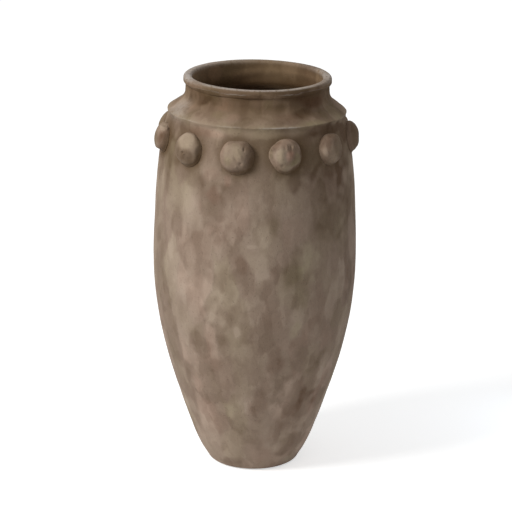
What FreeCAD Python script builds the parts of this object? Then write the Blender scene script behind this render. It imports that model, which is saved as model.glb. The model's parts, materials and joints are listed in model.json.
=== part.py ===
import FreeCAD, Part
import math
import os

# A tall clay storage jar on a narrow flat foot, with a ring of pressed-on clay knobs under its shoulder.
# It is built as a potter builds it: a floor dish, three wall sections, a shoulder ring, a neck ring and a
# rolled rim, each seated on the one below by a tongue-and-groove seam, and eleven balls of clay pressed on
# to the wall. Lengths are in millimetres. The jar stands on the XY plane, +Z is its axis, and -Y its front.

# Body, from the ground up to the top of the wall
foot_radius = 55.5
foot_round_radius = 8.0
belly_radius = 127.1
belly_height = 268.0
wall_top_radius = 109.0
wall_top_height = 451.5
wall_thickness = 9.5
floor_thickness = 13.0
floor_fillet_radius = 14.0

# How the side swells from foot to belly and draws in from belly to wall top: each pair is a share of that
# rise and a share of that gain or loss of radius. The cavity is shaped by all of them but the wall top.
lower_side_shares = [(0.10, 0.222), (0.22, 0.418), (0.38, 0.622), (0.56, 0.808), (0.76, 0.943)]
upper_side_shares = [(0.30, 0.095), (0.55, 0.235), (0.78, 0.470), (0.91, 0.730)]

# Shoulder: a sloping ring whose rounded edge stands a little proud of the wall that carries it
shoulder_edge_height = 5.6
shoulder_edge_overhang = 1.3
shoulder_edge_round_radius = 2.2
shoulder_rise = 14.6
shoulder_inner_round_radius = 7.0

# Neck and mouth
mouth_radius = 80.0
neck_thickness = 9.3
neck_rise = 17.4
neck_fillet_radius = 16.0
throat_round_radius = 6.0

# Rolled rim
rim_height = 11.2
rim_overhang = 2.3
rim_outer_round_radius = 5.0
rim_inner_round_radius = 4.2
rim_lower_round_radius = 3.0
rim_under_round_radius = 1.8

# Tongue-and-groove seams between the sections. The neck's seam is set across the shoulder's slope, at a
# share of the way down from the neck to the shoulder's edge.
floor_seam_height = 32.0
belly_seam_height = 165.0
upper_seam_height = 322.0
neck_seam_share = 0.45
tongue_height = 3.6
tongue_half_width = 2.6

# Knobs: balls of clay pressed flat against the wall, below the shoulder
knob_count = 11
knob_radius = 20.2
knob_half_depth = 11.6
knob_side_round_radius = 7.0
knob_stand = 12.6
knob_drop = 26.5
first_knob_turn_deg = -12.0

# Hand placing of each knob: turn as a share of the pitch, rise and size as shares of the knob's radius
knob_turn_shares = [0.031, -0.092, -0.090, -0.067, -0.030, 0.040, -0.020, 0.030, 0.036, 0.044, 0.031]
knob_rise_shares = [-0.02, 0.04, 0.03, 0.07, -0.05, 0.03, -0.06, 0.02, 0.05, 0.07, 0.02]
knob_size_shares = [0.020, 0.015, -0.050, -0.040, 0.010, -0.020, 0.015, -0.030, -0.050, -0.070, -0.025]

# A rounding takes at most this share of the straight edge on each side of its corner.
rounding_limit_share = 0.48
# A search for a place on a curve stops at this share of the curve's span.
search_limit_share = 1e-12

full_turn_deg = 360.0
front_turn_deg = -90.0
origin = FreeCAD.Vector(0, 0, 0)
jar_axis = FreeCAD.Vector(0, 0, 1)
outward = FreeCAD.Vector(1, 0, 0)

# Heights, radii and slopes that follow from the sizes above
shoulder_edge_radius = wall_top_radius + shoulder_edge_overhang
shoulder_edge_top = wall_top_height + shoulder_edge_height
neck_radius = mouth_radius + neck_thickness
neck_foot_height = shoulder_edge_top + shoulder_rise
rim_radius = neck_radius + rim_overhang
rim_foot_height = neck_foot_height + neck_rise
jar_height = rim_foot_height + rim_height
shoulder_slope = math.atan2(shoulder_rise, shoulder_edge_radius - neck_radius)
down_shoulder = FreeCAD.Vector(math.cos(shoulder_slope), 0, -math.sin(shoulder_slope))
shoulder_normal = FreeCAD.Vector(math.sin(shoulder_slope), 0, math.cos(shoulder_slope))


def point(radius, height):
    """A point of the jar's half section, in the XZ plane."""
    return FreeCAD.Vector(radius, 0, height)


def last_true(low, high, holds):
    """The highest value between low and high at which a condition that holds at low still holds."""
    limit = abs(high - low) * search_limit_share
    while abs(high - low) > limit:
        middle = (low + high) / 2
        if holds(middle):
            low = middle
        else:
            high = middle
    return low


def curve_through(stations):
    """One smooth curve that climbs through the given points."""
    curve = Part.BSplineCurve()
    curve.interpolate(stations)
    return curve


def curve_normal(curve, parameter):
    """The direction away from the axis, square to a climbing curve."""
    along = curve.tangent(parameter)[0]
    return FreeCAD.Vector(along.z, 0, -along.x)


def side_stations():
    """The points that the outside of the wall runs through, from the ground to the top of the wall."""
    stations = [point(foot_radius, 0)]
    for rise, gain in lower_side_shares:
        stations.append(point(foot_radius + gain * (belly_radius - foot_radius), rise * belly_height))
    stations.append(point(belly_radius, belly_height))
    for rise, loss in upper_side_shares:
        height = belly_height + rise * (wall_top_height - belly_height)
        stations.append(point(belly_radius - loss * (belly_radius - wall_top_radius), height))
    stations.append(point(wall_top_radius, wall_top_height))
    return stations


def cavity_stations(side):
    """The points that the inside of the wall runs through: the outer ones, moved in by the wall."""
    stations = []
    for station in side_stations()[:-1]:
        normal = curve_normal(side, side.parameter(station))
        stations.append(station - normal * wall_thickness)
    return stations


def bowl_edges(side, ground, round_radius):
    """The edges of a bowl's half outline: level from the axis, round the corner and up to the side's end."""
    def round_centre(parameter):
        return side.value(parameter) - curve_normal(side, parameter) * round_radius

    def is_low(parameter):
        return round_centre(parameter).z < ground + round_radius

    start = last_true(side.FirstParameter, side.LastParameter, is_low)
    centre = round_centre(start)
    on_ground = centre - jar_axis * round_radius
    on_side = side.value(start)
    between = (curve_normal(side, start) - jar_axis).normalize()
    level = Part.makeLine(point(0, ground), on_ground)
    rounding = Part.Arc(on_ground, centre + between * round_radius, on_side).toShape()
    return [level, rounding, side.toShape(start, side.LastParameter)]


def rounded_path(corners):
    """Straight edges through the given (point, radius) corners, with an arc of that radius at each."""
    edges = []
    run_start = corners[0][0]
    for (before, _), (corner, radius), (after, _) in zip(corners, corners[1:], corners[2:]):
        back = (before - corner).normalize()
        onward = (after - corner).normalize()
        half_angle = back.getAngle(onward) / 2
        shorter_side = min(corner.distanceToPoint(before), corner.distanceToPoint(after))
        cut_back = min(radius / math.tan(half_angle), rounding_limit_share * shorter_side)
        arc_radius = cut_back * math.tan(half_angle)
        to_arc = cut_back / math.cos(half_angle) - arc_radius
        arc_start = corner + back * cut_back
        arc_middle = corner + (back + onward).normalize() * to_arc
        arc_end = corner + onward * cut_back
        edges.append(Part.makeLine(run_start, arc_start))
        edges.append(Part.Arc(arc_start, arc_middle, arc_end).toShape())
        run_start = arc_end
    edges.append(Part.makeLine(run_start, corners[-1][0]))
    return edges


def under_shoulder(radius):
    """The point of the shoulder's underside at a radius: its top slope, moved in by the neck's thickness."""
    under_neck_foot = point(neck_radius, neck_foot_height) - shoulder_normal * neck_thickness
    return under_neck_foot + down_shoulder * ((radius - under_neck_foot.x) / down_shoulder.x)


def top_corners(cavity):
    """The corners of the section from the inside of the wall, over the rim, to the outside of the wall."""
    cavity_top = cavity.value(cavity.LastParameter)
    upward = cavity.tangent(cavity.LastParameter)[0]

    def is_below_shoulder(climb):
        place = cavity_top + upward * climb
        return place.z < under_shoulder(place.x).z

    to_shoulder = last_true(0, jar_height, is_below_shoulder)
    return [
        (cavity_top, 0),
        (cavity_top + upward * to_shoulder, shoulder_inner_round_radius),
        (under_shoulder(mouth_radius), throat_round_radius),
        (point(mouth_radius, jar_height), rim_inner_round_radius),
        (point(rim_radius, jar_height), rim_outer_round_radius),
        (point(rim_radius, rim_foot_height + rim_overhang), rim_lower_round_radius),
        (point(neck_radius, rim_foot_height), rim_under_round_radius),
        (point(neck_radius, neck_foot_height), neck_fillet_radius),
        (point(shoulder_edge_radius, shoulder_edge_top), shoulder_edge_round_radius),
        (point(shoulder_edge_radius, wall_top_height), shoulder_edge_round_radius),
        (point(wall_top_radius, wall_top_height), 0),
    ]


def face_within(edges):
    """The flat face that a closed loop of edges bounds."""
    return Part.Face(Part.Wire(Part.__sortEdges__(edges)))


def section_of_clay(outer_edges, side, cavity):
    """The half section of all the clay but the knobs."""
    inner_edges = bowl_edges(cavity, floor_thickness, floor_fillet_radius)
    middle = Part.makeLine(point(0, 0), point(0, floor_thickness))
    return face_within(outer_edges + inner_edges + rounded_path(top_corners(cavity)) + [middle])


def core_section(outer_edges):
    """The half section of the body filled up to the top of the wall, without its cavity."""
    top = Part.makeLine(point(wall_top_radius, wall_top_height), point(0, wall_top_height))
    middle = Part.makeLine(point(0, wall_top_height), point(0, 0))
    return face_within(outer_edges + [top, middle])


def beyond_seam(centre, across, onward):
    """The part of the section's plane beyond a seam whose tongue points onward, at the seam's centre."""
    reach = jar_height
    corners = [
        centre - across * reach,
        centre - across * tongue_half_width,
        centre + onward * tongue_height,
        centre + across * tongue_half_width,
        centre + across * reach,
        centre + across * reach + onward * reach,
        centre - across * reach + onward * reach,
    ]
    return Part.Face(Part.makePolygon(corners + corners[:1]))


def beyond_level_seam(clay, height):
    """The part of the section's plane above a level seam, whose tongue stands in the middle of the wall."""
    level = Part.makeLine(point(0, height), point(jar_height, height))
    return beyond_seam(level.common(clay).CenterOfGravity, outward, jar_axis)


def beyond_neck_seam():
    """The part of the section's plane beyond the seam that crosses the shoulder's slope."""
    slope_length = (shoulder_edge_radius - neck_radius) / down_shoulder.x
    on_slope = point(neck_radius, neck_foot_height) + down_shoulder * (neck_seam_share * slope_length)
    return beyond_seam(on_slope - shoulder_normal * (neck_thickness / 2), shoulder_normal, -down_shoulder)


def turned(section):
    """The solid that a half section sweeps in a full turn about the jar's axis."""
    return section.revolve(origin, jar_axis, full_turn_deg)


def thrown_sections(clay):
    """The seven rings and dishes of clay that make the jar, from the floor up."""
    sections = {}
    rest = clay
    for name, beyond in [
        ("floor_dish", beyond_level_seam(clay, floor_seam_height)),
        ("lower_wall", beyond_level_seam(clay, belly_seam_height)),
        ("belly_wall", beyond_level_seam(clay, upper_seam_height)),
        ("upper_wall", beyond_level_seam(clay, wall_top_height)),
        ("shoulder_ring", beyond_neck_seam()),
        ("neck_ring", beyond_level_seam(clay, rim_foot_height)),
    ]:
        sections[name] = turned(rest.cut(beyond).Faces[0])
        rest = rest.common(beyond)
    sections["rim_coil"] = turned(rest.Faces[0])
    return sections


def behind(place):
    """The mirror image of a knob outline's point, on the side towards the wall."""
    return point(-place.x, place.z)


def pressed_ball(size_scale):
    """A ball of clay at the origin, pressed along X: two shallow domes with a round side between them."""
    radius = knob_radius * size_scale
    half_depth = knob_half_depth * size_scale
    side_round = knob_side_round_radius * size_scale
    side_centre = point(0, radius - side_round)
    dome_radius = (half_depth**2 + side_centre.z**2 - side_round**2) / (2 * (half_depth - side_round))
    dome_centre = point(half_depth - dome_radius, 0)
    to_side = (side_centre - dome_centre).normalize()
    tip = point(half_depth, 0)
    dome_middle = dome_centre + (outward + to_side).normalize() * dome_radius
    dome_edge = side_centre + to_side * side_round
    outline = [
        Part.Arc(tip, dome_middle, dome_edge).toShape(),
        Part.Arc(dome_edge, point(0, radius), behind(dome_edge)).toShape(),
        Part.Arc(behind(dome_edge), behind(dome_middle), behind(tip)).toShape(),
        Part.makeLine(behind(tip), tip),
    ]
    return face_within(outline).revolve(origin, outward, full_turn_deg)


def knob(number, side, wall):
    """One ball of clay, squashed against the wall at its place in the ring, with the wall's shape behind."""
    turn_share = knob_turn_shares[number % len(knob_turn_shares)]
    rise_share = knob_rise_shares[number % len(knob_rise_shares)]
    size_scale = 1 + knob_size_shares[number % len(knob_size_shares)]
    pitch_deg = full_turn_deg / knob_count
    turn_deg = front_turn_deg + first_knob_turn_deg + (number + turn_share) * pitch_deg
    height = wall_top_height - knob_drop + rise_share * knob_radius

    place = last_true(side.FirstParameter, side.LastParameter, lambda t: side.value(t).z < height)
    normal = curve_normal(side, place)
    centre = side.value(place) + normal * (knob_stand - knob_half_depth) * size_scale

    ball = pressed_ball(size_scale)
    ball.Placement = FreeCAD.Placement(centre, FreeCAD.Rotation(outward, normal))
    ball.rotate(origin, jar_axis, turn_deg)
    return ball.cut(wall).Solids[0]


def jar_pieces():
    """Every piece of the jar, by name."""
    side = curve_through(side_stations())
    cavity = curve_through(cavity_stations(side))
    outer_edges = bowl_edges(side, 0, foot_round_radius)
    pieces = thrown_sections(section_of_clay(outer_edges, side, cavity))
    wall = turned(core_section(outer_edges))
    for number in range(knob_count):
        pieces[f"knob_{number + 1:02d}"] = knob(number, side, [wall, pieces["shoulder_ring"]])
    return pieces


os.makedirs("parts", exist_ok=True)
for name, shape in jar_pieces().items():
    shape.exportStep(f"parts/{name}.step")
    print(f"{name}: valid {shape.isValid()}, solids {len(shape.Solids)}, volume {shape.Volume:.0f} mm3")
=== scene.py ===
import json
import math

import bmesh
import bpy
import numpy as np
from mathutils import Matrix, Vector, noise


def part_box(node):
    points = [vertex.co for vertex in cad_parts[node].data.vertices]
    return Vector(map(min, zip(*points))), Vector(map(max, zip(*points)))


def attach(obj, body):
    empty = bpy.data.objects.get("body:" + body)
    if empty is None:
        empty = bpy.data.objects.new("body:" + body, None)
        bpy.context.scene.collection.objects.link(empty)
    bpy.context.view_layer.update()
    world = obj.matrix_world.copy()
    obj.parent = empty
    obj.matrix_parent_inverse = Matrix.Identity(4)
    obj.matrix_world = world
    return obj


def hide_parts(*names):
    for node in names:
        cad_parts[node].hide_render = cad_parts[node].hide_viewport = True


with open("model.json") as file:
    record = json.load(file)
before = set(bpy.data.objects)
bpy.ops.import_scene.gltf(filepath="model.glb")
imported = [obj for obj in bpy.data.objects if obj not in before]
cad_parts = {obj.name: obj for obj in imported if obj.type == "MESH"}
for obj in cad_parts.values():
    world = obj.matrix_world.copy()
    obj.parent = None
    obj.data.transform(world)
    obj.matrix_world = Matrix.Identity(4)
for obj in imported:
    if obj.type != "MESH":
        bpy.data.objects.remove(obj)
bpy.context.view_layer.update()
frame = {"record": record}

# A tall studded clay jar, thrown in sections and finished by hand, with a blotched matte surface.
# Lengths are in metres unless a comment says otherwise: heights from the floor, radii from the jar's axis.
# Turns are in degrees from the jar's front, which is -Y, and grow to the right as the camera sees it.

# The rings of the wall, from the floor up
rings = ["floor_dish", "lower_wall", "belly_wall", "upper_wall", "shoulder_ring", "neck_ring", "rim_coil"]

# Sizes that the frame gives
rim_low_corner, rim_high_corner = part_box("rim_coil")
jar_height = rim_high_corner.z
rim_radius = rim_high_corner.x
rim_foot_height = rim_low_corner.z
shoulder_edge_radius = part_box("shoulder_ring")[1].x
wall_top_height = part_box("shoulder_ring")[0].z
belly_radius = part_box("belly_wall")[1].x
level_seam_heights = [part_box(ring)[0].z for ring in rings[1:-2]]
mounts = {mount["name"]: mount for mount in frame["record"]["mounts"]}
mm_per_metre = 1000
mouth_radius = mounts["mouth"]["dims"]["r_mm"] / mm_per_metre

# Body
foot_radius = 0.0555
foot_round_radius = 0.008
belly_height = 0.268
wall_top_radius = 0.109
wall_thickness = 0.0095
floor_thickness = 0.013
floor_fillet_radius = 0.014

# The side's swelling, as pairs of shares: of the rise to the belly or to the wall's top, and of the radius
# gained or lost on the way.
lower_side_shares = [(0.1, 0.222), (0.22, 0.418), (0.38, 0.622), (0.56, 0.808), (0.76, 0.943)]
upper_side_shares = [(0.3, 0.095), (0.55, 0.235), (0.78, 0.47), (0.91, 0.73)]

# Shoulder, neck and rim
shoulder_edge_rise = 0.0056
shoulder_edge_top = wall_top_height + shoulder_edge_rise
shoulder_edge_round_radius = 0.0014
shoulder_hollow_radius = 0.012
shoulder_hollow_depth = 0.006
shoulder_inner_round_radius = 0.007
neck_thickness = 0.0093
neck_radius = mouth_radius + neck_thickness
neck_height = 0.0174
neck_foot_height = rim_foot_height - neck_height
neck_fillet_radius = 0.016
throat_round_radius = 0.014
rim_outer_round_radius = 0.0046
rim_inner_round_radius = 0.0042
rim_lower_round_radius = 0.003
rim_under_round_radius = 0.0018
rim_lower_height = rim_foot_height + rim_radius - neck_radius

# Seams between the sections, hidden inside the wall
neck_seam_share = 0.45
tongue_height = 0.0036
tongue_half_width = 0.0026

# How finely the rings are meshed
segments = 480
path_spacing = 0.0002
seen_row_spacing = 0.0017
hidden_row_spacing = 0.0042
hidden_below_height = 0.4
most_turn_in_row = math.radians(11)
arc_steps = 14
curve_steps = 60
rounding_limit_share = 0.48
weld_distance = 1e-7

# What the potter's hands left: a mark's size, its depth and its shift through the noise. Turning marks are
# rings, whose size is their pitch: they wander and fade over some pitches. Those inside begin below the lip.
hand_marks = (0.055, 0.0006, 0)
palm_marks = (0.02, 0.0003, 2.1)
tool_marks = (0.0065, 0.00012, 7.7)
outer_turning_marks = (0.0075, 0.00006, 8.2)
inner_turning_marks = (0.0135, 0.0007, 3.7)
inner_marks_below_lip = 0.014
turning_wander_pitches = 9
turning_fade_pitches = 4
turning_fade_share = 0.4
out_of_round = (0.11, 0.0005, 5.3)
neck_dents = (0.0165, 0.0016, 6.1)
neck_dent_stretch = 2.2

# The shoulder's edge and the rim are out of level and off centre. Each row is a height, the tilt there to
# the right and to the front in degrees, the shift to the right and the drop.
lean_by_height = [
    (0.44, 0, 0, 0, 0), (0.457, 0.85, -0.3, 0.0003, 0), (0.478, 0.5, 0.3, 0.0012, 0.0006),
    (0.501, 0.5, 0.6, 0.0016, 0.00095),
]

# How much wider the jar was thrown than its section: by height, and by turn within a reach of the shoulder's
# edge. The edge wavers like a mark, within a reach of its own.
height_girth_shares = [
    (0, 0.01), (0.018, 0.008), (0.05, -0.02), (0.095, -0.02), (0.2, 0), (0.25, 0.0045), (0.36, 0.0045),
    (0.4, 0),
]
shoulder_girth_shares = [(-180, 0), (35, 0), (75, 0.014), (115, 0.014), (160, 0), (180, 0)]
shoulder_girth_reach = 0.022
edge_waver = (0.026, 0.0012, 9.9)
edge_waver_reach = 0.004

# The rim was rolled over. Its lower edge is higher at some turns: turn and lift. It hangs in flaps, each from
# one turn to another with a drop; a flap starts softly and ends in a torn edge, and is ragged by a size, a
# share and a shift. At some turns the roll stands out from the neck by only a share of its reach.
rim_edge_lifts = [
    (-180, 0.002), (-90, 0.0006), (-45, 0.0034), (0, 0.006), (45, 0.0042), (90, 0.001), (180, 0.002),
]
rim_flaps = [
    (-38, 35, 0.0022), (70, 117, 0.001), (121, 166, 0.0008), (172, 229, 0.0014), (233, 262, 0.0008),
    (264, 302, 0.0008),
]
flap_start_width = 13
flap_end_width = 1.6
flap_reach = 0.0048
flap_raggedness = (0.0052, 0.55, 4.4)
rim_stand_shares = [(-180, 1), (-62, 1), (-36, 0.45), (42, 0.45), (64, 1), (180, 1)]

# Knobs: balls of clay pressed on below the shoulder, buried a little, with a foot that spreads over the wall,
# most below. Each has shares of its own: how far it is off its place, of the pitch; how much too high it
# sits, of the radius; and how much larger it is.
knob_count = 11
knob_numbers = range(1, knob_count + 1)
knob_radius = 0.0202
knob_half_depth = 0.0116
knob_stand = 0.0126
knob_drop = 0.0265
knob_bury = 0.0014
knob_spread = 0.003
knob_spread_height = 0.0015
first_knob_turn = -12
knob_turn_shares = [0.031, -0.092, -0.09, -0.067, -0.03, 0.04, -0.02, 0.03, 0.036, 0.044, 0.031]
knob_rise_shares = [-0.02, 0.04, 0.03, 0.07, -0.05, 0.03, -0.06, 0.02, 0.05, 0.07, 0.02]
knob_size_shares = [0.02, 0.015, -0.05, -0.04, 0.01, -0.02, 0.015, -0.03, -0.05, -0.07, -0.025]
knob_fineness = 6

# Flats pressed into a knob: the direction each faces (right, up, out), and the share of the knob's reach in
# that direction that it takes off. Knobs with no list get drawn ones: how many, and the ranges drawn from.
knob_flats = {
    1: [(0.85, -0.2, 0.5, 0.14), (0.15, -0.85, 0.5, 0.08), (0, 1, 0.1, 0.14)],
    2: [(0.9, 0, 0.45, 0.1), (0.45, -0.75, 0.5, 0.1), (-0.85, -0.5, 0.2, 0.16), (-0.6, 0.8, 0.1, 0.12),
        (0, 1, 0.2, 0.06)],
    3: [(0.7, 0.15, 0.6, 0.08), (-0.6, 0.35, 0.7, 0.04), (0, 1, 0.1, 0.04)],
    4: [(0.1, -0.8, 0.55, 0.05), (0.5, 0.5, 0.6, 0.04)],
    10: [(0.3, 0.85, 0.4, 0.1), (0.1, -1, 0.1, 0.12)],
    11: [(0.2, 0.55, 0.8, 0.06), (0.45, -0.45, 0.77, 0.1), (0.95, -0.1, 0.2, 0.06)],
}
drawn_flats = (4, [(-1, 1), (-1, 1), (0.2, 1), (0.04, 0.12)])
flat_softness_share = 0.04

# Dents in a knob's face: how far to the right and up, half the width and half the height, all as shares of
# the knob's radius, how many degrees the top leans to the right, and the depth, below 0 for a ridge
knob_dents = {
    1: [(0.5, 0.43, 0.05, 0.1, 0, 0.0016), (0.02, -0.16, 0.09, 0.22, -30, 0.001),
        (0.31, -0.02, 0.1, 0.3, -30, -0.0008), (0.33, -0.45, 0.11, 0.09, 0, 0.0014),
        (0.06, -0.62, 0.07, 0.1, 0, -0.0008)],
    2: [(-0.4, 0, 0.2, 0.5, 0, -0.0016), (-0.05, 0.45, 0.08, 0.2, 0, -0.001),
        (0.22, 0.43, 0.05, 0.12, 0, 0.0014), (0.36, 0.43, 0.08, 0.1, 0, -0.0011),
        (-0.84, 0.4, 0.09, 0.1, 0, -0.0018), (-0.36, -0.65, 0.08, 0.08, 0, 0.001)],
    3: [(0.15, 0.2, 0.3, 0.3, 0, 0.0006)],
    10: [(-0.2, 0.8, 0.14, 0.14, 0, 0.0016), (0.45, 0.74, 0.4, 0.13, 0, -0.0018)],
    11: [(0.04, -0.25, 0.08, 0.07, 0, 0.002), (0.15, -0.33, 0.06, 0.04, 0, -0.001)],
}
drawn_dents = (3, [(-0.6, 0.6), (-0.6, 0.6), (0.06, 0.2), (0.08, 0.3), (-40, 40), (0.0004, 0.001)])

# Marks all over a knob: size and depth. Each knob's are shifted through the noise.
knob_unevenness = (0.01, 0.001)
knob_grain = (0.0034, 0.00036)
knob_noise_shift = 13

# Stains and painted light and shade in a knob's clay: the direction of each (right, up, out), its width and,
# in tenths, its tone (pale above 0, dark below) and blush (pink above 0, olive below). Many tones are painted
# light and shade: pale on the faces lit from the upper left, dark on the shaded right and lower flanks. The
# blush is the clay's own colour.
paint_tenths = 10
knob_stains_and_shading = {
    1: [(-0.2, 0.25, 0.95, 0.62, 5, -5), (0.97, 0, 0.25, 0.45, -4, 0), (0.75, -0.6, 0.2, 0.5, -6, 0),
        (0.15, -0.98, 0.1, 0.35, -5, 2), (0.6, 0.7, 0.4, 0.42, -6, 0), (-0.15, 0.85, 0.5, 0.4, -5, 0),
        (-0.5, -0.35, 0.8, 0.28, 0, -9), (-0.5, -0.86, 0.05, 0.32, -6, 0), (0.01, -0.21, 0.98, 0.14, -6, 2)],
    2: [(-0.38, -0.08, 0.92, 0.46, 14, -5), (-0.1, -0.85, 0.5, 0.42, 8, -4),
        (0.12, -0.08, 0.98, 0.32, -2, 20), (0.55, -0.35, 0.75, 0.46, 3, -16), (0.9, -0.3, 0.2, 0.4, 2, -6),
        (-0.7, 0.65, 0.3, 0.42, -10, 0), (0.45, 0.85, 0.25, 0.45, -8, 0), (-0.05, 0.45, 0.88, 0.16, 5, 2),
        (-0.96, 0.1, 0.15, 0.34, -7, -10)],
    3: [(0.5, 0, 0.85, 0.8, -7.5, -3), (-0.9, -0.1, 0.42, 0.26, 8, 0), (-0.8, 0.55, 0, 0.42, -6, 0),
        (0, 0.9, 0.4, 0.42, -10, 0), (0.45, -0.6, 0.66, 0.45, -4, 0)],
    4: [(0, 0, 1, 1.2, -9, -6)],
    9: [(0, 0.2, 1, 1.2, -8, -9)],
    10: [(0.5, 0.8, 0.42, 0.34, 18, -2), (0.8, 0.36, 0.44, 0.32, -6, 2), (0.62, 0.05, 0.78, 0.4, -5, 2),
         (0.8, -0.1, 0.5, 0.5, -7, 3), (0.6, -0.75, 0.1, 0.4, -9, 2), (0.05, -0.2, 0.97, 0.45, -6, -5)],
    11: [(0.1, 0.6, 0.8, 0.62, 10, -2), (0.35, -0.48, 0.8, 0.48, -9, 0), (-0.25, -0.4, 0.88, 0.44, -6, 0),
         (0.78, 0.15, 0.6, 0.34, 3, 0), (0.9, -0.45, -0.1, 0.32, -10, 2), (0.42, -0.9, 0.1, 0.35, -6, 0),
         (0.75, 0.65, 0, 0.3, -3, -6)],
}
knob_paint_softness = 0.05

# The wall's stains and painted light and shade: turn, height, half the width and half the height in
# millimetres, tone and blush in tenths. Their edges are ragged by a size, a share and a shift. Most are the
# clay's own blotches; the painted light and shade among them is noted where it stands.
wall_stains_and_shading = [
    (-40, 365, 11, 27, 5, 0), (-54, 297, 6, 11, 5, 0), (-45, 259, 13, 18, 5, 1), (-25, 247, 10, 28, 8, 0),
    (4, 332, 8, 18, 7, 0), (-1, 316, 6, 2, 9, 0), (5, 280, 12, 6, 6, 1), (31, 297, 15, 21, 9, -4),
    (-20, 302, 12, 16, 7, 0), (21, 280, 12, 15, -7.5, -6), (-7, 292, 7, 10, -7, 2),
    (48, 336, 24, 26, -6, -3), (-24, 376, 9, 10, -3.5, 9), (10, 341, 6, 11, -5, -5),
    (43, 386, 33, 17, -5.5, 2), (-10, 205, 4, 7, 8.5, 4), (24, 206, 8, 12, 4.5, -6),
    (-42, 126, 8, 10, 3.5, 6), (23, 118, 11, 19, 5, 4), (13, 164, 10, 21, -7, 4), (-18, 192, 8, 9, -5, 1),
    (36, 164, 24, 19, -4.5, -5), (42, 94, 15, 18, -6, 3), (-48, 483, 13, 9, -12, -4),
    (-35, 485, 12, 7, -8, -5), (-40, 473, 11, 7, -6, 0), (-23, 478, 12, 7, 1, 4), (-10, 478, 5, 13, -6, 0),
    (-1, 490, 10, 3, -6, 3), (1, 484, 7, 5, 2, 4), (9, 481, 6, 7, -1, -7), (18, 478, 8, 6, -6, -5),
    # The second stain below, dark under the rim at turn 35, is a painted shadow of the rim on the neck
    (48, 483, 22, 9, -11, 9), (35, 491, 13, 4, -5, 3), (37, 470, 11, 5, -9, -2), (24, 465, 16, 5, -5, 4),
    (54, 466, 12, 4, -3, -9), (42, 459, 16, 3, 1, -10), (71, 465, 17, 7, -2, -5), (-28, 467, 11, 4, 1, -9),
    # The second stain below, pale on the slope at turn -71, is a painted highlight on the lit left shoulder
    (-18, 465, 10, 5, 3, 9), (-71, 466, 22, 8, 10, 3), (4, 462, 12, 4, 5, 3), (-35, 447, 36, 4, -4, 6),
    (-60, 443, 26, 11, -9, 2), (-62, 478, 10, 10, -9, -6), (33, 425, 17, 28, -11, -3),
    (50, 448, 28, 7, -13, 2), (63, 418, 21, 30, -14, 0), (48, 400, 30, 9, -6, 1), (23, 393, 10, 11, -9, 2),
    (-61, 414, 17, 20, -4, -5), (-82, 407, 14, 10, -8, 3), (-39, 392, 15, 10, -7, 0),
    # The last stain below, a pale band under the shoulder's edge at the front, is painted light where its
    # shadow falls
    (-16, 396, 5, 6, -1, 12), (-26, 399, 12, 7, -1, 4), (-25, 447, 8, 6, 9, 3), (4, 450, 60, 5, 10, -1),
    (-53, 423, 10, 17, -4, 0), (72, 435, 25, 11, -6, 2), (-23, 360, 19, 27, -7, 0), (-39, 294, 10, 17, 5, 0),
    (-38, 322, 12, 17, -3, 0), (-68, 272, 18, 55, -5, 0), (68, 313, 24, 76, -6, 0), (-8, 245, 9, 22, 5, 0),
    (-25, 161, 9, 11, -4, 2), (-47, 139, 14, 14, -5, 0), (42, 135, 14, 26, -9, 0), (40, 40, 18, 18, -11, -2),
    (-2, 366, 17, 16, 4, 1), (18, 357, 9, 11, 4, 1), (4, 288, 7, 14, 5, 0), (29, 262, 13, 26, 5, -4),
    (26, 228, 11, 20, 7, -2), (-20, 228, 14, 22, 6.5, 1), (-12, 192, 12, 20, 7, 0), (-16, 245, 10, 12, 4, 0),
    (-20, 94, 12, 10, 5, -3), (-42, 88, 11, 11, 4, 0), (-74, 80, 18, 30, 5, -3), (-2, 28, 9, 17, 5, 2),
    (-34, 184, 18, 13, -7, 0), (62, 112, 24, 24, -5, 0), (4, 108, 10, 22, -8, 1), (-12, 95, 11, 24, 8, -1),
    (-49, 334, 11, 20, -9, 0), (32, 78, 13, 22, -4, 1),
]
wall_patch_edges = (0.011, 0.55, 11.3)
wall_patch_softness_share = 0.16

# The clay changes from the foot up: height, tone, blush and how brown it is. The tone is partly painted
# light and shade: paler towards the foot, for light thrown up from the floor, and darker towards the top.
clay_and_shading_by_height = [
    (0, 0.45, 0, 0), (0.1, 0.27, -0.1, 0), (0.22, 0.14, 0, 0), (0.33, 0.2, -0.1, 0),
    (0.38, 0.03, -0.2, 0.05), (0.42, -0.1, -0.3, 0.3), (0.457, -0.15, -0.3, 0.45), (0.476, -0.3, -0.2, 1),
    (0.5, -0.35, -0.2, 1),
]

# The clay inside, from the lip down: depth, tone, how brown and how dark it is. The darkness is painted
# shade deep in the mouth, and the paler tone of the deepest rows is painted light on the shaded underside
# of the shoulder. By turn, the tone inside is painted light and shade: paler at the back and darker on the
# right inner wall.
inside_clay_and_shade = [
    (0, 0.3, 1.3, 0.1), (0.012, 0.6, 1.3, 0.1), (0.02, 0.3, 1.3, 0.6), (0.03, 0.1, 1.3, 1.1),
    (0.036, 0.6, 1, 0.5), (0.044, 1.1, 0, 0),
]
inside_painted_light_by_turn = [
    (-180, 0.1), (-153, 0.15), (-132, 0), (0, 0), (110, -0.5), (132, -0.5), (148, 0.2), (166, 0.4),
    (180, 0.15),
]

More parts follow.
